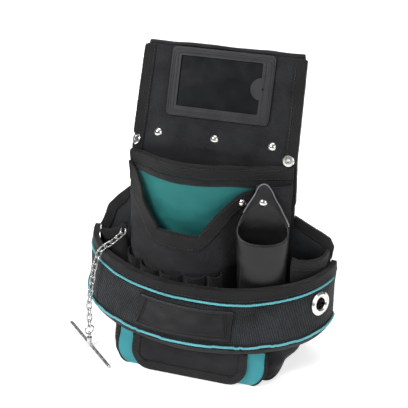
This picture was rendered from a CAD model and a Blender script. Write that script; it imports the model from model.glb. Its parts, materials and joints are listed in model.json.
"""Looks of the electrician tool pouch: cloth, tape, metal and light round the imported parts.

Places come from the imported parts, in metres.  Weaves, stitches, folds and cloth thicknesses are
named in millimetres and turned to metres with MM.
"""

import json
import math

import bmesh
import bpy
import numpy as np
from mathutils import Matrix, Vector, noise
from mathutils.bvhtree import BVHTree


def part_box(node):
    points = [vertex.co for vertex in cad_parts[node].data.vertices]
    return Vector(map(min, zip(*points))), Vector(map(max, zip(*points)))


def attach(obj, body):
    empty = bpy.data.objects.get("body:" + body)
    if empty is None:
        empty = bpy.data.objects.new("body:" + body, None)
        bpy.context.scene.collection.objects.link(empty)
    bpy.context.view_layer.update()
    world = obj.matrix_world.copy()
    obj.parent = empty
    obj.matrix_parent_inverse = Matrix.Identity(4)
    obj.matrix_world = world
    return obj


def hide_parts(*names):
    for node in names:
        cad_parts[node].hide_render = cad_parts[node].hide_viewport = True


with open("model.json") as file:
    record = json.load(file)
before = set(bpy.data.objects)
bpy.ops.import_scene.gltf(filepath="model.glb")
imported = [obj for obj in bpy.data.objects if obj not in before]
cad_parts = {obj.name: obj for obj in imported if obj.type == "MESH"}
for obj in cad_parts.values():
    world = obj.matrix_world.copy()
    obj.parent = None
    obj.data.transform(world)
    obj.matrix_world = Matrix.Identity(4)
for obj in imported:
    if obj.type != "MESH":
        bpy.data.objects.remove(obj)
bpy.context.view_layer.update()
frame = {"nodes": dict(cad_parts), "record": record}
NODES = frame["nodes"]
MM = 0.001
POUCH = "pouch"

# ---- cloth thickness and stitches, mm ----
CLOTH = 1.6
STITCH_LENGTH = 2.3
STITCH_GAP = 1.0
STITCH_RADIUS = 0.28

# ---- creases in cloth, mm, and the turn in radians above which an edge counts as sharp ----
FOLD_DEPTH = 1.2
CREASE_DEPTH = 0.5
SHARP = 0.6
TUCK = 0.11
PLEATS = 27
PLEAT_DEPTH = 1.6
SEWN_SIDE = 7.0

# ---- light: glow of the floor and brightness of the sky at its edge and overhead ----
FLOOR_GLOW = 0.62
SKY_LOW = 0.08
SKY_HIGH = 0.55

# ---- camera ----
CAMERA_PLACE = (182.8, -703.3, 582.1)
CAMERA_TURN = 15.2
CAMERA_DROP = 30.82
CAMERA_ROLL = 0.48
CAMERA_LENS = 75.62


# =================================================================================================
# materials
# =================================================================================================
class Graph:
    """A material's node tree, with short calls to add nodes."""

    def __init__(self, name):
        self.material = bpy.data.materials.new(name)
        self.material.use_nodes = True
        self.tree = self.material.node_tree
        self.shader = self.tree.nodes["Principled BSDF"]

    def put(self, socket, value):
        if isinstance(value, bpy.types.NodeSocket):
            self.tree.links.new(value, socket)
        else:
            socket.default_value = value

    def node(self, kind, inputs, **settings):
        made = self.tree.nodes.new(kind)
        for key, value in settings.items():
            setattr(made, key, value)
        for key, value in inputs.items():
            self.put(made.inputs[key], value)
        return made

    def math(self, operation, a, b=0.0):
        return self.node("ShaderNodeMath", {0: a, 1: b}, operation=operation).outputs[0]

    def uv(self):
        """The two flat coordinates of a piece, in millimetres."""
        place = self.node("ShaderNodeTexCoord", {}).outputs["UV"]
        parts = self.node("ShaderNodeSeparateXYZ", {0: place})
        return parts.outputs[0], parts.outputs[1]

    def noise(self, size_mm, detail=3.0):
        """Even noise in space whose blotches are about size_mm wide."""
        place = self.node("ShaderNodeTexCoord", {}).outputs["Object"]
        settings = {"Vector": place, "Scale": 1.0 / (size_mm * MM), "Detail": detail}
        return self.node("ShaderNodeTexNoise", settings).outputs["Fac"]

    def wave(self, value, pitch, shift=0.0):
        turned = self.math("MULTIPLY", value, 2 * math.pi / pitch)
        return self.math("SINE", self.math("ADD", turned, shift))

    def mix(self, share, dark, light):
        made = self.node("ShaderNodeMix", {}, data_type="RGBA")
        self.put(made.inputs[0], share)
        self.put(made.inputs[6], (*dark, 1.0))
        self.put(made.inputs[7], (*light, 1.0))
        return made.outputs[2]

    def span(self, value, low, high, to_low, to_high):
        inputs = {0: value, 1: low, 2: high, 3: to_low, 4: to_high}
        return self.node("ShaderNodeMapRange", inputs).outputs[0]

    def bump(self, height, depth_mm, under=None, strength=1.0):
        made = self.node("ShaderNodeBump", {"Height": height, "Strength": strength, "Distance": depth_mm * MM})
        if under is not None:
            self.put(made.inputs["Normal"], under)
        return made.outputs["Normal"]

    def finish(self, **values):
        for key, value in values.items():
            self.put(self.shader.inputs[key.replace("_", " ")], value)
        return self.material


def cloth_material(name, dark, light, pitch, depth, rough=0.82, sheen=0.35, pattern="plain", blotch=22.0):
    """Woven cloth: plain weave, upright ribs or level ribs, with faded blotches and fine fibres."""
    g = Graph(name)
    u, v = g.uv()
    if pattern == "plain":
        over = g.math("MULTIPLY", g.wave(u, pitch), g.wave(v, pitch))
        threads = g.math("MULTIPLY", g.wave(u, pitch / 2), g.wave(v, pitch / 2))
        height = g.math("ADD", over, g.math("MULTIPLY", threads, 0.35))
    elif pattern == "upright":
        ribs = g.wave(u, pitch)
        height = g.math("ADD", ribs, g.math("MULTIPLY", g.wave(v, pitch * 0.6), 0.45))
    else:
        ribs = g.wave(v, pitch)
        height = g.math("ADD", ribs, g.math("MULTIPLY", g.wave(u, pitch * 0.6), 0.45))
    fibres = g.noise(0.5, 2.0)
    patches = g.noise(blotch, 4.0)
    share = g.math("ADD", g.math("MULTIPLY", height, 0.16), g.math("MULTIPLY", fibres, 0.45))
    share = g.math("ADD", share, g.math("MULTIPLY", g.math("SUBTRACT", patches, 0.5), 1.1))
    colour = g.mix(g.span(share, -0.1, 0.75, 0.0, 1.0), dark, light)
    soft = g.bump(fibres, 0.12)
    normal = g.bump(height, depth, soft, 0.75)
    return g.finish(
        Base_Color=colour,
        Roughness=g.span(patches, 0.3, 0.7, rough - 0.06, rough + 0.06),
        Normal=normal,
        Sheen_Weight=sheen * 0.3,
        Sheen_Roughness=0.45,
        Specular_IOR_Level=0.22,
    )


def coated_material(name, dark, light, rough, grain_mm, depth, specular=0.5, coat=0.0):
    """Smooth coated sheet, rubber or soft plastic with a fine grain and worn blotches."""
    g = Graph(name)
    grain = g.noise(grain_mm, 6.0)
    patches = g.noise(16.0, 4.0)
    colour = g.mix(g.span(patches, 0.3, 0.7, 0.0, 1.0), dark, light)
    return g.finish(
        Base_Color=colour,
        Roughness=g.span(g.math("ADD", grain, patches), 0.6, 1.4, rough - 0.07, rough + 0.07),
        Normal=g.bump(grain, depth),
        Specular_IOR_Level=specular,
        Coat_Weight=coat,
        Coat_Roughness=0.25,
    )


def metal_material(name, dark, light, rough):
    """Plated metal with fine scratches and a little haze."""
    g = Graph(name)
    haze = g.noise(3.0, 5.0)
    place = g.node("ShaderNodeTexCoord", {}).outputs["Object"]
    stretched = g.node("ShaderNodeMapping", {"Vector": place, "Scale": (250.0, 2200.0, 1400.0)}).outputs[0]
    scratches = g.node("ShaderNodeTexNoise", {"Vector": stretched, "Scale": 1.0, "Detail": 3.0}).outputs["Fac"]
    colour = g.mix(g.span(haze, 0.3, 0.7, 0.0, 1.0), dark, light)
    return g.finish(
        Base_Color=colour,
        Metallic=1.0,
        Roughness=g.span(haze, 0.3, 0.7, rough * 0.7, rough * 1.5),
        Normal=g.bump(scratches, 0.01, None, 0.4),
    )


MATERIALS = {
    "ballistic_cloth": cloth_material("ballistic_cloth", (0.003, 0.003, 0.004), (0.036, 0.038, 0.042), 1.9, 0.45),
    "pocket_cloth": cloth_material("pocket_cloth", (0.003, 0.003, 0.004), (0.031, 0.032, 0.035), 1.5, 0.36),
    "edge_tape": cloth_material(
        "edge_tape", (0.004, 0.004, 0.004), (0.020, 0.019, 0.019), 1.6, 0.32, 0.62, 0.25, "level"
    ),
    "band_cloth": cloth_material(
        "band_cloth", (0.004, 0.005, 0.006), (0.052, 0.057, 0.063), 2.3, 0.6, 0.75, 0.25, "upright"
    ),
    "lining_cloth": cloth_material("lining_cloth", (0.004, 0.004, 0.005), (0.014, 0.014, 0.016), 1.2, 0.2),
    "wing_cloth": cloth_material("wing_cloth", (0.014, 0.016, 0.019), (0.055, 0.061, 0.070), 1.6, 0.3),
    "teal_cloth": cloth_material(
        "teal_cloth", (0.010, 0.125, 0.122), (0.026, 0.225, 0.215), 0.9, 0.08, 0.5, 0.25, "plain", 40.0
    ),
    "bellows_cloth": cloth_material(
        "bellows_cloth", (0.030, 0.235, 0.270), (0.060, 0.350, 0.390), 1.0, 0.1, 0.55, 0.25, "plain", 30.0
    ),
    "teal_cord": cloth_material(
        "teal_cord", (0.080, 0.360, 0.410), (0.180, 0.580, 0.640), 1.6, 0.15, 0.55, 0.25, "upright", 30.0
    ),
    "elastic": cloth_material("elastic", (0.004, 0.004, 0.005), (0.018, 0.018, 0.020), 1.6, 0.4, 0.75, 0.25, "upright"),
    "thread": cloth_material("thread", (0.012, 0.012, 0.013), (0.085, 0.085, 0.090), 0.8, 0.1, 0.5, 0.2, "upright"),
    "stiffener": coated_material("stiffener", (0.01, 0.01, 0.01), (0.02, 0.02, 0.02), 0.7, 1.5, 0.1),
    "rubber_patch": coated_material("rubber_patch", (0.008, 0.008, 0.009), (0.013, 0.013, 0.0145), 0.5, 0.8, 0.12, 0.3),
    "sleeve_vinyl": coated_material(
        "sleeve_vinyl", (0.006, 0.0062, 0.007), (0.011, 0.0112, 0.012), 0.40, 1.1, 0.10, 0.32, 0.04
    ),
    "cut_edge": coated_material("cut_edge", (0.10, 0.10, 0.105), (0.18, 0.18, 0.19), 0.55, 0.8, 0.1),
    "frame_plastic": coated_material("frame_plastic", (0.014, 0.0145, 0.016), (0.022, 0.023, 0.025), 0.45, 1.0, 0.1, 0.35),
    "window_film": coated_material(
        "window_film", (0.0050, 0.0055, 0.0068), (0.0062, 0.0068, 0.0082), 0.22, 24.0, 0.03, 0.30
    ),
    "nickel": metal_material("nickel", (0.55, 0.54, 0.52), (0.84, 0.83, 0.80), 0.20),
    "chain_steel": metal_material("chain_steel", (0.40, 0.40, 0.41), (0.70, 0.70, 0.70), 0.24),
}


def paint(piece, material):
    piece.data.materials.clear()
    piece.data.materials.append(MATERIALS[material])


# =================================================================================================
# views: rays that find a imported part's surface; a and b are the two coordinates across the view
# =================================================================================================
FAR = 0.6


def flat_view(turn=0.0, behind=False):
    """Level rays along one heading; a runs to the right in metres and b is the height."""
    angle = math.radians(turn)
    ahead = Vector((math.sin(angle), math.cos(angle), 0))
    right = Vector((math.cos(angle), -math.sin(angle), 0))
    if behind:
        ahead = ahead * -1

    def ray(a, b):
        return right * a + Vector((0, 0, b)) - ahead * FAR, ahead

    return ray


def round_view(x, y, inside=False):
    """Level rays towards an upright axis, or away from it; a is the angle from the front."""

    def ray(a, b):
        outward = Vector((math.sin(a), -math.cos(a), 0))
        centre = Vector((x, y, b))
        if inside:
            return centre, outward
        return centre + outward * FAR, outward * -1

    return ray


def tree_of(*names):
    corners = []
    faces = []
    for name in names:
        mesh = NODES[name].data
        start = len(corners)
        corners.extend(vertex.co.copy() for vertex in mesh.vertices)
        faces.extend([index + start for index in face.vertices] for face in mesh.polygons)
    return BVHTree.FromPolygons(corners, faces)


def edge_of(tree, ray_at, inside, outside):
    """Value between inside and outside where the ray starts to miss."""
    for _ in range(13):
        middle = (inside + outside) / 2
        origin, ahead = ray_at(middle)
        if tree.ray_cast(origin, ahead)[0] is None:
            outside = middle
        else:
            inside = middle
    return inside


def sample(tree, ray, a, b, fallback):
    origin, ahead = ray(a, b)
    place = tree.ray_cast(origin, ahead)[0]
    if place is not None:
        return place
    if fallback is None:
        return tree.find_nearest(origin + ahead * FAR)[0]
    depth = (fallback - ray(0, 0)[0]).length
    near = tree.find_nearest(fallback)[0]
    return near if depth else fallback


def scan(names, ray, span, sure, columns, rows, by="columns"):
    """Grid of points on the parts' nearest surface, with columns or rows trimmed to its outline."""
    tree = tree_of(*names)
    boxes = [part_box(name) for name in names]
    low = min(box[0].z for box in boxes) - MM
    high = max(box[1].z for box in boxes) + MM
    grid = []
    if by == "columns":
        for i in range(columns + 1):
            a = span[0] + (span[1] - span[0]) * i / columns
            bottom = edge_of(tree, lambda b: ray(a, b), sure, low)
            top = edge_of(tree, lambda b: ray(a, b), sure, high)
            column = []
            last = None
            for j in range(rows + 1):
                last = sample(tree, ray, a, bottom + (top - bottom) * j / rows, last)
                column.append(last)
            grid.append(column)
        return grid
    lines = []
    for j in range(rows + 1):
        b = low + 1.2 * MM + (high - low - 2.4 * MM) * j / rows
        left = edge_of(tree, lambda a: ray(a, b), sure, span[0])
        right = edge_of(tree, lambda a: ray(a, b), sure, span[1])
        line = []
        last = None
        for i in range(columns + 1):
            last = sample(tree, ray, left + (right - left) * i / columns, b, last)
            line.append(last)
        lines.append(line)
    return [[lines[j][i] for j in range(rows + 1)] for i in range(columns + 1)]


# =================================================================================================
# pieces
# =================================================================================================
def new_piece(name, mesh, material, replaced=(), body=POUCH):
    piece = bpy.data.objects.new(name, mesh)
    bpy.context.scene.collection.objects.link(piece)
    paint(piece, material)
    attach(piece, body)
    if replaced:
        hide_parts(*replaced)
    return piece


def applied(piece):
    """Bake the modifiers of a piece into its mesh."""
    bpy.context.view_layer.update()
    graph = bpy.context.evaluated_depsgraph_get()
    mesh = bpy.data.meshes.new_from_object(piece.evaluated_get(graph))
    old = piece.data
    piece.modifiers.clear()
    piece.data = mesh
    bpy.data.meshes.remove(old)
    return piece


def smooth(mesh):
    mesh.polygons.foreach_set("use_smooth", [True] * len(mesh.polygons))


def normal_at(grid, i, j):
    """Outward direction of a grid, where its columns run to the right and its rows run up."""
    across = grid[min(i + 1, len(grid) - 1)][j] - grid[max(i - 1, 0)][j]
    up = grid[i][min(j + 1, len(grid[i]) - 1)] - grid[i][max(j - 1, 0)]
    return across.cross(up).normalized()


def relieved(grid, relief, flip=1.0):
    """Move each point outwards by relief(u, v), both in mm along the cloth."""
    moved = []
    flat = []
    along = [0.0] * len(grid[0])
    for i, column in enumerate(grid):
        up = 0.0
        line = []
        places = []
        for j, point in enumerate(column):
            if i:
                along[j] += (point - grid[i - 1][j]).length / MM
            if j:
                up += (point - column[j - 1]).length / MM
            share_u = i / (len(grid) - 1)
            share_v = j / (len(column) - 1)
            height = relief(along[j], up, share_u, share_v) if relief else 0.0
            line.append(point + normal_at(grid, i, j) * height * MM * flip)
            places.append((along[j], up))
        moved.append(line)
        flat.append(places)
    return moved, flat


def sheet_piece(name, grid, thickness, material, replaced=(), relief=None, closed=False, holes=(), flip=1.0, body=POUCH):
    """Thick cloth over a grid; holes are (point, radius) pairs whose faces are left out."""
    grid, flat = relieved(grid, relief, flip)
    mesh = bpy.data.meshes.new(name)
    work = bmesh.new()
    layer = work.loops.layers.uv.new("UVMap")
    corners = [[work.verts.new(point) for point in column] for column in grid]
    columns = len(grid)
    last = columns if closed else columns - 1
    for i in range(last):
        k = (i + 1) % columns
        for j in range(len(grid[0]) - 1):
            spots = ((i, j), (k, j), (k, j + 1), (i, j + 1))
            middle = sum((grid[a][b] for a, b in spots), Vector()) / 4
            if any((middle - centre).length < radius for centre, radius in holes):
                continue
            face = work.faces.new([corners[a][b] for a, b in spots])
            for loop, (a, b) in zip(face.loops, spots):
                loop[layer].uv = flat[a][b]
            if closed and k == 0:
                width = flat[1][0][0] - flat[0][0][0]
                for loop, (a, b) in zip(face.loops, spots):
                    if a == 0:
                        loop[layer].uv = (flat[i][b][0] + width, flat[a][b][1])
    if flip < 0:
        bmesh.ops.reverse_faces(work, faces=work.faces)
    loose = [vertex for vertex in work.verts if not vertex.link_faces]
    bmesh.ops.delete(work, geom=loose, context="VERTS")
    work.to_mesh(mesh)
    work.free()
    smooth(mesh)
    piece = new_piece(name, mesh, material, replaced, body)
    thick = piece.modifiers.new("thick", "SOLIDIFY")
    thick.thickness = thickness * MM
    thick.offset = -1.0
    thick.use_rim = True
    soft = piece.modifiers.new("soft", "SUBSURF")
    soft.levels = 1
    soft.render_levels = 1
    return applied(piece)


def set_uv(mesh, flatten):
    """Give a mesh flat coordinates, in mm, worked out from where its corners are."""
    layer = mesh.uv_layers.get("UVMap") or mesh.uv_layers.new(name="UVMap")
    places = np.empty(len(mesh.vertices) * 3, np.float32)
    mesh.vertices.foreach_get("co", places)
    u, v = flatten(places.reshape(-1, 3) / MM)
    corner = np.empty(len(mesh.loops), np.int32)
    mesh.loops.foreach_get("vertex_index", corner)
    values = np.stack([u[corner], v[corner]], axis=1).astype(np.float32)
    layer.data.foreach_set("uv", values.ravel())


def flat_uv(slope=0.0):
    """Across and up; slope in degrees turns the threads to follow a slanting tape."""
    c = math.cos(math.radians(slope))
    s = math.sin(math.radians(slope))
    return lambda p: (p[:, 0] * c + p[:, 2] * s, p[:, 2] * c - p[:, 0] * s)


def round_uv(x, y, radius):
    return lambda p: (np.arctan2(p[:, 0] - x, y - p[:, 1]) * radius, p[:, 2])


def drape(point):
    """How far the cloth has crept at a point: wide soft folds with finer creases on them."""
    wide = noise.noise_vector(Vector((point.x / 0.046, point.y / 0.046, point.z / 0.019)))
    fine = noise.noise_vector(Vector((point.x / 0.016, point.y / 0.016 + 9.0, point.z / 0.008)))
    ground = min(max(point.z / (12 * MM), 0.0), 1.0)
    return (wide * FOLD_DEPTH + fine * CREASE_DEPTH) * ground * MM


def split_long_edges(work, longest):
    for _ in range(9):
        edges = [edge for edge in work.edges if edge.calc_length() > longest * MM]
        if not edges:
            break
        bmesh.ops.subdivide_edges(work, edges=edges, cuts=1)
        bmesh.ops.triangulate(work, faces=[face for face in work.faces if len(face.verts) > 3])


def ease_sharp_edges(work, most):
    """Pull the corners of cut cloth in a little, so that its edges are round."""
    moves = {}
    for vertex in work.verts:
        sharp = False
        for edge in vertex.link_edges:
            if len(edge.link_faces) == 2 and edge.calc_face_angle(0.0) > SHARP:
                sharp = True
        if sharp:
            around = [edge.other_vert(vertex).co for edge in vertex.link_edges]
            pull = sum(around, Vector()) / len(around) - vertex.co
            if pull.length > most * MM:
                pull = pull.normalized() * most * MM
            moves[vertex] = pull
    for vertex, pull in moves.items():
        vertex.co += pull


def soft_copy(name, nodes, material, flatten, fine=3.0, ease=0.35, amount=1.0, reshape=None):
    """Creased, round-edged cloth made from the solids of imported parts."""
    work = bmesh.new()
    for node in nodes:
        work.from_mesh(NODES[node].data)
    bmesh.ops.remove_doubles(work, verts=work.verts, dist=0.004 * MM)
    split_long_edges(work, fine)
    bmesh.ops.recalc_face_normals(work, faces=work.faces)
    ease_sharp_edges(work, ease)
    for vertex in work.verts:
        if reshape:
            vertex.co = reshape(vertex.co)
        vertex.co += drape(vertex.co) * amount
    mesh = bpy.data.meshes.new(name)
    work.to_mesh(mesh)
    work.free()
    smooth(mesh)
    set_uv(mesh, flatten)
    return new_piece(name, mesh, material, nodes, POUCH)


def run_along(names, ray, stations, share, lift=0.2, low=None, high=None, topmost=True):
    """Path on the visible side of a tape: share 0 is its lower edge and 1 its upper edge."""
    tree = tree_of(*names)
    boxes = [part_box(name) for name in names]
    low = min(box[0].z for box in boxes) - 2 * MM if low is None else low
    high = max(box[1].z for box in boxes) + 2 * MM if high is None else high
    path = []
    outward = []
    for a in stations:
        steps = int((high - low) / MM)
        levels = [low + (high - low) * k / steps for k in range(steps + 1)]
        hits = [tree.ray_cast(*ray(a, level))[0] is not None for level in levels]
        order = range(steps, -1, -1) if topmost else range(steps + 1)
        first = next((k for k in order if hits[k]), None)
        if first is None:
            continue
        last = first
        step = -1 if topmost else 1
        while 0 <= last + step <= steps and hits[last + step]:
            last += step
        bottom_k, top_k = min(first, last), max(first, last)
        bottom = edge_of(tree, lambda b: ray(a, b), levels[bottom_k], levels[max(bottom_k - 1, 0)])
        top = edge_of(tree, lambda b: ray(a, b), levels[top_k], levels[min(top_k + 1, steps)])
        place, normal = tree.ray_cast(*ray(a, bottom + (top - bottom) * share))[:2]
        if place is None:
            continue
        if normal.dot(ray(a, 0)[1]) > 0:
            normal = normal * -1
        path.append(place + drape(place) + normal * lift * MM)
        outward.append(normal)
    return path, outward


def spread(first, last, count):
    return [first + (last - first) * k / (count - 1) for k in range(count)]


def fold(u, v, wide, tall, seed):
    """Smooth creases that are wide and tall millimetres across, between -1 and 1."""
    return noise.noise(Vector((u / wide, v / tall, seed)))


def stitches(name, path, outward, body=POUCH, sides=5):
    """Row of short threads along a path, standing slightly proud of the cloth."""
    mesh = bpy.data.meshes.new(name)
    work = bmesh.new()
    step = (STITCH_LENGTH + STITCH_GAP) * MM
    walked = 0.0
    due = step / 2
    for i in range(len(path) - 1):
        piece_length = (path[i + 1] - path[i]).length
        while due <= walked + piece_length and piece_length > 0:
            share = (due - walked) / piece_length
            centre = path[i].lerp(path[i + 1], share)
            out = outward[i].lerp(outward[i + 1], share).normalized()
            along = (path[i + 1] - path[i]).normalized()
            side = along.cross(out).normalized()
            rings = []
            for t, r in ((-0.5, 0.35), (-0.3, 1.0), (0.3, 1.0), (0.5, 0.35)):
                middle = centre + along * (t * STITCH_LENGTH * MM) + out * (0.12 * r * MM)
                ring = []
                for k in range(sides):
                    angle = 2 * math.pi * k / sides
                    offset = side * math.cos(angle) + out * math.sin(angle)
                    ring.append(work.verts.new(middle + offset * (STITCH_RADIUS * r * MM)))
                rings.append(ring)
            for a, b in zip(rings, rings[1:]):
                for k in range(sides):
                    work.faces.new((a[k], a[(k + 1) % sides], b[(k + 1) % sides], b[k]))
            work.faces.new(rings[0][::-1])
            work.faces.new(rings[-1])
            due += step
        walked += piece_length
    bmesh.ops.recalc_face_normals(work, faces=work.faces)
    work.to_mesh(mesh)
    work.free()
    smooth(mesh)
    made = new_piece(name, mesh, "thread", (), body)
    set_uv(made.data, flat_uv())
    return made


def seam(name, grid, pick, count=None):
    """Stitches along a grid at the height share pick(i share) of each column."""
    path = []
    outward = []
    for i, column in enumerate(grid):
        share = pick(i / (len(grid) - 1)) * (len(column) - 1)
        j = min(int(share), len(column) - 2)
        path.append(column[j].lerp(column[j + 1], share - j))
        outward.append(normal_at(grid, i, j))
    return stitches(name, path, outward)


def cord(name, path, radius, material, closed=False, sides=10, body=POUCH, flat=None):
    """Round cord of radius mm along a path."""
    mesh = bpy.data.meshes.new(name)
    work = bmesh.new()
    layer = work.loops.layers.uv.new("UVMap")
    count = len(path)
    rings = []
    run = []
    length = 0.0
    for i, point in enumerate(path):
        before = path[i - 1] if i or closed else path[i]
        after = path[(i + 1) % count] if i < count - 1 or closed else path[i]
        along = (after - before).normalized()
        side = along.cross(flat or Vector((0, 0, 1))).normalized()
        up = side.cross(along)
        ring = []
        for k in range(sides):
            angle = 2 * math.pi * k / sides
            ring.append(work.verts.new(point + (side * math.cos(angle) + up * math.sin(angle)) * radius * MM))
        rings.append(ring)
        if i:
            length += (point - path[i - 1]).length / MM
        run.append(length)
    pairs = list(zip(range(count - 1), range(1, count)))
    if closed:
        pairs.append((count - 1, 0))
    for a, b in pairs:
        for k in range(sides):
            n = (k + 1) % sides
            face = work.faces.new((rings[a][k], rings[a][n], rings[b][n], rings[b][k]))
            far = run[b] if b else run[a] + (path[0] - path[a]).length / MM
            for loop, (u, s) in zip(face.loops, ((run[a], k), (run[a], k + 1), (far, k + 1), (far, k))):
                loop[layer].uv = (u, s * 2 * math.pi * radius / sides)
    if not closed:
        work.faces.new(rings[0])
        work.faces.new(rings[-1][::-1])
    bmesh.ops.recalc_face_normals(work, faces=work.faces)
    work.to_mesh(mesh)
    work.free()
    smooth(mesh)
    return new_piece(name, mesh, material, (), body)


FRONT = flat_view()
REAR = flat_view(0.0, True)


# =================================================================================================
# back panel, its edge tape and the belt tunnel
# =================================================================================================
def build_panel():
    def creases(u, v, s, t):
        across = 0.7 * fold(u, v, 70, 16, 1.0) + 0.4 * fold(u, v, 35, 9, 2.0)
        below_rivets = math.exp(-(((t - 0.70) / 0.05) ** 2))
        calm = 0.45 if t > 0.77 else 1.0
        return calm * (0.85 * across + 1.5 * below_rivets * fold(u, v, 90, 7, 3.0))

    grid = scan(["panel_front_skin"], FRONT, (-0.09, 0.09), 0.0, 72, 130, "rows")
    sheet_piece("panel_front_cloth", grid, 1.2, "ballistic_cloth", ["panel_front_skin"], creases)
    grid = scan(["panel_rear_skin"], REAR, (-0.09, 0.09), 0.0, 60, 100, "rows")
    sheet_piece("panel_rear_cloth", grid, 1.2, "ballistic_cloth", ["panel_rear_skin"], creases, flip=-1.0)
    paint(NODES["panel_board"], "stiffener")
    soft_copy("panel_edge_tape", ["panel_bindings"], "edge_tape", flat_uv(86), 2.5, 0.3, 0.25)
    soft_copy("belt_tunnel_cloth", ["belt_tunnel"], "ballistic_cloth", flat_uv(), 4.0)


def build_panel_seams():
    tree = tree_of("panel_bindings")
    for side, label in ((-1, "left"), (1, "right")):
        path = []
        outward = []
        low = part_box("panel_bindings")[0].z + 2 * MM
        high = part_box("panel_bindings")[1].z - 3 * MM
        for z in spread(low, high, 70):
            inner = edge_of(tree, lambda a: FRONT(a, z), side * 0.0745, 0.0)
            path.append(sample(tree, FRONT, inner + side * 1.6 * MM, z, None))
            outward.append(Vector((0, -0.95, 0.3)))
        stitches("panel_edge_stitches_" + label, path, outward)


def build_card_frame():
    """Two raised lines round the frame's outside and one round its window."""
    paint(NODES["card_frame"], "frame_plastic")
    paint(NODES["card_film"], "window_film")
    tree = tree_of("card_frame", "card_film")
    low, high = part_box("card_frame")
    window_low, window_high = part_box("card_film")

    def loop(x_from, x_to, z_from, z_to, corner):
        corners = ((x_to - corner, z_to - corner, 0), (x_from + corner, z_to - corner, 90),
                   (x_from + corner, z_from + corner, 180), (x_to - corner, z_from + corner, 270))
        points = []
        for x, z, start in corners:
            for k in range(9):
                angle = math.radians(start + 90 * k / 8)
                points.append((x + corner * math.cos(angle), z + corner * math.sin(angle)))
        path = []
        for x, z in points:
            place = tree.ray_cast(*FRONT(x, z))[0]
            if place is not None:
                path.append(place)
        return path

    for label, inset, radius in (("outer", 1.3, 0.55), ("inner", 3.4, 0.45)):
        edge = inset * MM
        path = loop(low.x + edge, high.x - edge, low.z + edge + 1 * MM, high.z - edge - 1 * MM, 5 * MM)
        cord("card_frame_lip_" + label, path, radius, "frame_plastic", True, 8)
    path = loop(window_low.x - 1 * MM, window_high.x + 1 * MM, window_low.z - 1 * MM, window_high.z + 1 * MM, 2 * MM)
    cord("card_window_lip", path, 0.4, "frame_plastic", True, 8)


build_panel()
build_panel_seams()
build_card_frame()


# =================================================================================================
# pockets
# =================================================================================================
def build_pockets():
    lining = soft_copy("rear_pocket_lining", ["rear_pocket_front"], "teal_cloth", flat_uv(), 3.0)
    lining.data.materials.append(MATERIALS["pocket_cloth"])
    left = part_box("rear_pocket_front")[0].x + SEWN_SIDE * MM
    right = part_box("middle_pocket")[1].x - MM
    for face in lining.data.polygons:
        if face.center.x < left or face.center.x > right:
            face.material_index = 1
    soft_copy("rear_pocket_strip", ["rear_pocket_facing"], "pocket_cloth", flat_uv(), 2.5)
    soft_copy("rear_pocket_rim_tape", ["rear_pocket_binding"], "edge_tape", flat_uv(), 2.5)
    soft_copy("middle_pocket_cloth", ["middle_pocket"], "pocket_cloth", flat_uv(), 3.0)
    soft_copy("middle_pocket_rim_tape", ["middle_pocket_binding"], "edge_tape", flat_uv(-35), 2.2)
    soft_copy("pocket_flank_cloth", ["pocket_flank"], "pocket_cloth", flat_uv(), 3.0)
    soft_copy("driver_loop_elastic", ["driver_loops"], "elastic", flat_uv(), 2.5, 0.3, 0.7)
    x = (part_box("holster")[0].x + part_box("holster")[1].x) / 2 / MM
    soft_copy("holster_vinyl", ["holster"], "sleeve_vinyl", round_uv(x, -36, 20), 2.5, 0.3, 0.5)
    low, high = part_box("rear_pocket_binding")
    stations = spread(low.x + 3 * MM, high.x - 3 * MM, 90)
    for label, share in (("lower", 0.16), ("upper", 0.80)):
        stitches("rim_stitches_" + label, *run_along(["rear_pocket_binding"], FRONT, stations, share))
    low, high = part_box("middle_pocket_binding")
    stations = spread(low.x + 2 * MM, high.x - 2 * MM, 110)
    for label, share in (("lower", 0.14), ("upper", 0.84)):
        stitches("scoop_stitches_" + label, *run_along(["middle_pocket_binding"], FRONT, stations, share))


def build_holster_edges():
    """Pale cut edge round the sleeve's front rim and the seam down its left side."""
    path, outward = run_along(["holster"], FRONT, spread(0.0375, 0.081, 60), 1.0, 0.0)
    cord("holster_cut_edge", path, 0.7, "cut_edge", False, 8)
    tree = tree_of("holster")
    path = []
    outward = []
    for z in spread(0.068, 0.128, 40):
        place, normal = tree.ray_cast(*FRONT(0.0415, z))[:2]
        if place is not None:
            path.append(place + drape(place) * 0.5)
            outward.append(normal)
    stitches("holster_seam", path, outward)


build_pockets()
build_holster_edges()


# =================================================================================================
# side pockets and wings
# =================================================================================================
def tucked(point):
    """The foot of the pouch draws in at both sides, most of all on the left."""
    depth = 14 * MM if point.x < 0 else 40 * MM
    low = min(max((40 * MM - point.z) / depth, 0.0), 1.0)
    side = min(max((abs(point.x) - 60 * MM) / (40 * MM), 0.0), 1.0)
    return Vector((point.x * (1.0 - TUCK * low * side), point.y, point.z))


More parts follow.
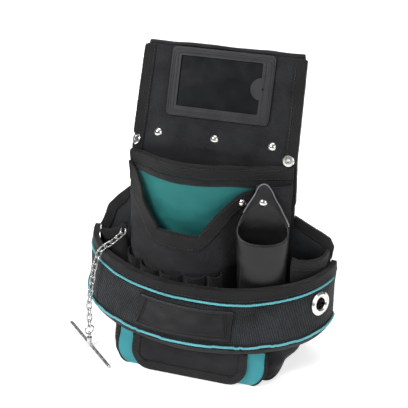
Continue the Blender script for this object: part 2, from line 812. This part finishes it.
def build_sides():
    soft_copy("wing_wall_cloth", ["wing_walls"], "wing_cloth", flat_uv(), 3.5, 0.3, 1.0, tucked)
    soft_copy("wing_edge_tape", ["wing_bindings"], "edge_tape", flat_uv(35), 2.5)
    soft_copy("side_pocket_left_cloth", ["side_pocket_left"], "pocket_cloth", flat_uv(), 3.0)
    soft_copy("side_pocket_right_cloth", ["side_pocket_right"], "pocket_cloth", flat_uv(), 3.0)
    soft_copy("side_pocket_rim_tape", ["side_bindings"], "edge_tape", flat_uv(), 2.2)
    soft_copy("chain_tab_tape", ["chain_tab"], "edge_tape", flat_uv(), 1.5, 0.2, 0.3)
    low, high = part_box("side_bindings")
    for label, first, last in (("left", low.x, -0.086), ("right", 0.089, high.x)):
        stations = spread(first + 1 * MM, last - 1 * MM, 40)
        stitches("side_rim_stitches_" + label, *run_along(["side_bindings"], FRONT, stations, 0.18))
    low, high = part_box("wing_bindings")
    for label, first, last in (("left", low.x, -0.086), ("right", 0.086, high.x)):
        stations = spread(first + 1 * MM, last - 1 * MM, 40)
        stitches("wing_stitches_" + label, *run_along(["wing_bindings"], FRONT, stations, 0.16))


build_sides()


# =================================================================================================
# band, pipings, patch and eyelet
# =================================================================================================
def build_band():
    flatten = round_uv(0, -0.0, 110)
    soft_copy("band_cloth_front", ["front_band"], "band_cloth", flatten, 3.0, 0.3, 0.9)
    soft_copy("band_cloth_lining", ["band_lining"], "lining_cloth", flatten, 4.0, 0.3, 0.9)
    soft_copy("band_top_tape", ["band_top_binding"], "edge_tape", flatten, 2.5, 0.35, 0.9)
    soft_copy("band_hem_tape", ["band_hem_binding"], "edge_tape", flatten, 2.5, 0.35, 0.9)
    soft_copy("label_patch_rubber", ["label_patch"], "rubber_patch", flat_uv(), 2.5, 0.3, 0.9)
    around = round_view(0, 0)
    angles = spread(math.radians(-86), math.radians(86), 190)
    for label, node, share in (("top_tape", "band_top_binding", 0.16), ("hem_tape", "band_hem_binding", 0.84)):
        stitches("band_stitches_" + label, *run_along([node], around, angles, share))
    build_pipings()


def build_pipings():
    """Thin woven cords sewn along the band, each between two narrow black welts."""
    band = tree_of("front_band")
    piping = tree_of("pipings")
    around = round_view(0, 0)
    low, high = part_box("pipings")
    levels = spread(low.z - MM, high.z + MM, 120)
    cords = {"lower": [], "upper": []}
    for angle in spread(math.radians(-90.5), math.radians(90.5), 220):
        hits = [z for z in levels if piping.ray_cast(*around(angle, z))[0] is not None]
        if not hits or hits[-1] - hits[0] < 25 * MM:
            continue
        split = (hits[0] + hits[-1]) / 2
        for label, part in (("lower", [z for z in hits if z < split]), ("upper", [z for z in hits if z > split])):
            if part:
                cords[label].append((angle, (part[0] + part[-1]) / 2))
    for label, spots in cords.items():
        for piece, material, offset, radius, lift in (
            ("cord", "teal_cord", 0.0, 1.15, 0.75),
            ("welt_above", "edge_tape", 1.9, 0.75, 0.1),
            ("welt_below", "edge_tape", -1.9, 0.75, 0.1),
        ):
            path = []
            for angle, z in spots:
                place, normal = band.ray_cast(*around(angle, z + offset * MM))[:2]
                if place is not None:
                    path.append(place + drape(place) * 0.9 + normal * lift * MM)
            made = cord("piping_%s_%s" % (label, piece), path, radius, material)
            if piece == "cord" and label == "upper":
                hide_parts("pipings")


def build_patch_border():
    """Double raised border round the blank rubber patch."""
    tree = tree_of("label_patch")
    low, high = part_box("label_patch")
    around = round_view(0, 0)
    start = math.atan2(low.x, 0.082)
    end = math.atan2(high.x, 0.089)

    def edge_pair(angle):
        levels = spread(low.z - MM, high.z + MM, 60)
        hits = [z for z in levels if tree.ray_cast(*around(angle, z))[0] is not None]
        return (min(hits), max(hits)) if len(hits) > 8 else None

    angles = [angle for angle in spread(start, end, 90) if edge_pair(angle)]
    for label, inset, radius in (("outer", 1.5, 0.8), ("inner", 3.9, 0.6)):
        trim = inset * MM / 0.09
        inside = [angle for angle in angles if angles[0] + trim <= angle <= angles[-1] - trim]
        spots = [(angle, edge_pair(angle)[0] + inset * MM) for angle in inside]
        bottom, top = edge_pair(inside[-1])
        spots += [(inside[-1], z) for z in spread(bottom + inset * MM + MM, top - inset * MM - MM, 10)]
        spots += [(angle, edge_pair(angle)[1] - inset * MM) for angle in reversed(inside)]
        bottom, top = edge_pair(inside[0])
        spots += [(inside[0], z) for z in spread(top - inset * MM - MM, bottom + inset * MM + MM, 10)]
        path = []
        for angle, z in spots:
            place = tree.ray_cast(*around(angle, z))[0]
            if place is not None:
                path.append(place + drape(place) * 0.9)
        cord("patch_border_" + label, path, radius, "rubber_patch", True, 8)


build_band()
build_patch_border()


# =================================================================================================
# foot and bellows pocket
# =================================================================================================
def pleated(point):
    """Upright pleats in the drawn-in side walls."""
    point = tucked(point)
    angle = math.atan2(point.x, -point.y)
    low = min(max(point.z / (12 * MM), 0.0), 1.0)
    depth = PLEAT_DEPTH * MM * low * math.sin(PLEATS * angle + point.z / (17 * MM))
    return point + Vector((math.sin(angle), -math.cos(angle), 0)) * (depth - PLEAT_DEPTH * MM * low)


def lowered(point):
    """The bellows pocket sags, so its lower part hangs a little closer to the ground."""
    share = max(1.0 - point.z / (26 * MM), 0.0)
    return Vector((point.x, point.y - 1.2 * MM * share, max(point.z - 2.6 * MM * share, 0.3 * MM)))


def flared(point):
    """The rear edge of the bellows swings forward and outward at its two lower corners."""
    low = max(1.0 - point.z / (30 * MM), 0.0)
    side = min(max((abs(point.x) - 40 * MM) / (30 * MM), 0.0), 1.0)
    rear = min(max((point.y + 84 * MM) / (9 * MM), 0.0), 1.0)
    swing = low * side * rear
    out = math.copysign(2.0 * MM * swing, point.x)
    return lowered(Vector((point.x + out, point.y - 10 * MM * swing, point.z)))


def build_foot():
    soft_copy("lower_front_cloth", ["lower_front_wall"], "pocket_cloth", flat_uv(), 3.0)
    soft_copy("lower_side_cloth", ["lower_gussets"], "pocket_cloth", round_uv(0, 0, 100), 3.0, 0.35, 1.6, pleated)
    soft_copy("pouch_floor_cloth", ["pouch_floor"], "pocket_cloth", flat_uv(), 5.0, 0.35, 1.0, tucked)
    soft_copy("bellows_front_cloth", ["bellows_front"], "pocket_cloth", flat_uv(), 2.5, 0.3, 0.8, lowered)
    soft_copy("bellows_gusset_cloth", ["bellows_gusset"], "bellows_cloth", flat_uv(), 2.5, 0.3, 0.8, flared)
    soft_copy("bellows_edge_tape", ["bellows_bindings"], "edge_tape", flat_uv(), 2.2, 0.3, 0.8, flared)


build_foot()


# =================================================================================================
# metal parts, kept as packed
# =================================================================================================
record_slots = {part["node"]: part["material_slot"] for part in frame["record"]["subparts"]}
for node_name, node_object in NODES.items():
    if not node_object.hide_render and record_slots[node_name] in ("nickel", "chain_steel"):
        paint(node_object, record_slots[node_name])


# =================================================================================================
# floor, light and camera
# =================================================================================================
def build_stage():
    size = 4.0
    mesh = bpy.data.meshes.new("floor")
    mesh.from_pydata([(-size, -size, 0), (size, -size, 0), (size, size, 0), (-size, size, 0)], [], [(0, 1, 2, 3)])
    floor = bpy.data.objects.new("floor", mesh)
    bpy.context.scene.collection.objects.link(floor)
    floor.location.z = -0.0004
    g = Graph("floor_paint")
    tone = g.mix(g.noise(300.0, 2.0), (0.80, 0.80, 0.80), (0.84, 0.84, 0.84))
    mesh.materials.append(g.finish(Base_Color=tone, Roughness=0.9, Emission_Color=(1.0, 1.0, 1.0, 1.0),
                                   Emission_Strength=FLOOR_GLOW))
    world = bpy.data.worlds.new("studio")
    bpy.context.scene.world = world
    world.use_nodes = True
    nodes = world.node_tree.nodes
    links = world.node_tree.links
    seen = nodes["Background"]
    seen.inputs["Color"].default_value = (1.0, 1.0, 1.0, 1.0)
    seen.inputs["Strength"].default_value = 1.0
    lit = nodes.new("ShaderNodeBackground")
    place = nodes.new("ShaderNodeTexCoord")
    parts = nodes.new("ShaderNodeSeparateXYZ")
    ramp = nodes.new("ShaderNodeMapRange")
    links.new(place.outputs["Generated"], parts.inputs[0])
    links.new(parts.outputs["Z"], ramp.inputs[0])
    for index, value in ((1, 0.0), (2, 0.9), (3, SKY_LOW), (4, SKY_HIGH)):
        ramp.inputs[index].default_value = value
    links.new(ramp.outputs[0], lit.inputs["Strength"])
    path = nodes.new("ShaderNodeLightPath")
    choose = nodes.new("ShaderNodeMixShader")
    links.new(path.outputs["Is Camera Ray"], choose.inputs[0])
    links.new(lit.outputs[0], choose.inputs[1])
    links.new(seen.outputs[0], choose.inputs[2])
    links.new(choose.outputs[0], nodes["World Output"].inputs["Surface"])


def area_light(name, place, size, power, target=(0.0, -0.03, 0.12)):
    data = bpy.data.lights.new(name, "AREA")
    data.energy = power
    data.size = size
    light = bpy.data.objects.new(name, data)
    light.location = place
    aim = Vector(target) - Vector(place)
    light.rotation_euler = aim.to_track_quat("-Z", "Y").to_euler()
    bpy.context.scene.collection.objects.link(light)


def build_camera():
    data = bpy.data.cameras.new("camera")
    data.lens = CAMERA_LENS
    data.sensor_width = 36.0
    data.clip_start = 0.01
    camera = bpy.data.objects.new("camera", data)
    bpy.context.scene.collection.objects.link(camera)
    tilt = Matrix.Rotation(math.radians(90 - CAMERA_DROP), 4, "X")
    turn = Matrix.Rotation(math.radians(CAMERA_TURN), 4, "Z")
    roll = Matrix.Rotation(math.radians(CAMERA_ROLL), 4, "Z")
    camera.matrix_world = Matrix.Translation(Vector(CAMERA_PLACE) * MM) @ turn @ tilt @ roll
    bpy.context.scene.camera = camera


build_stage()
area_light("key", (-0.7, -0.8, 1.2), 0.6, 17.0)
area_light("fill", (1.1, -0.7, 0.7), 0.8, 4.5)
area_light("top", (0.1, 0.4, 1.5), 1.0, 9.0)
build_camera()
bpy.context.scene.view_settings.view_transform = "Standard"
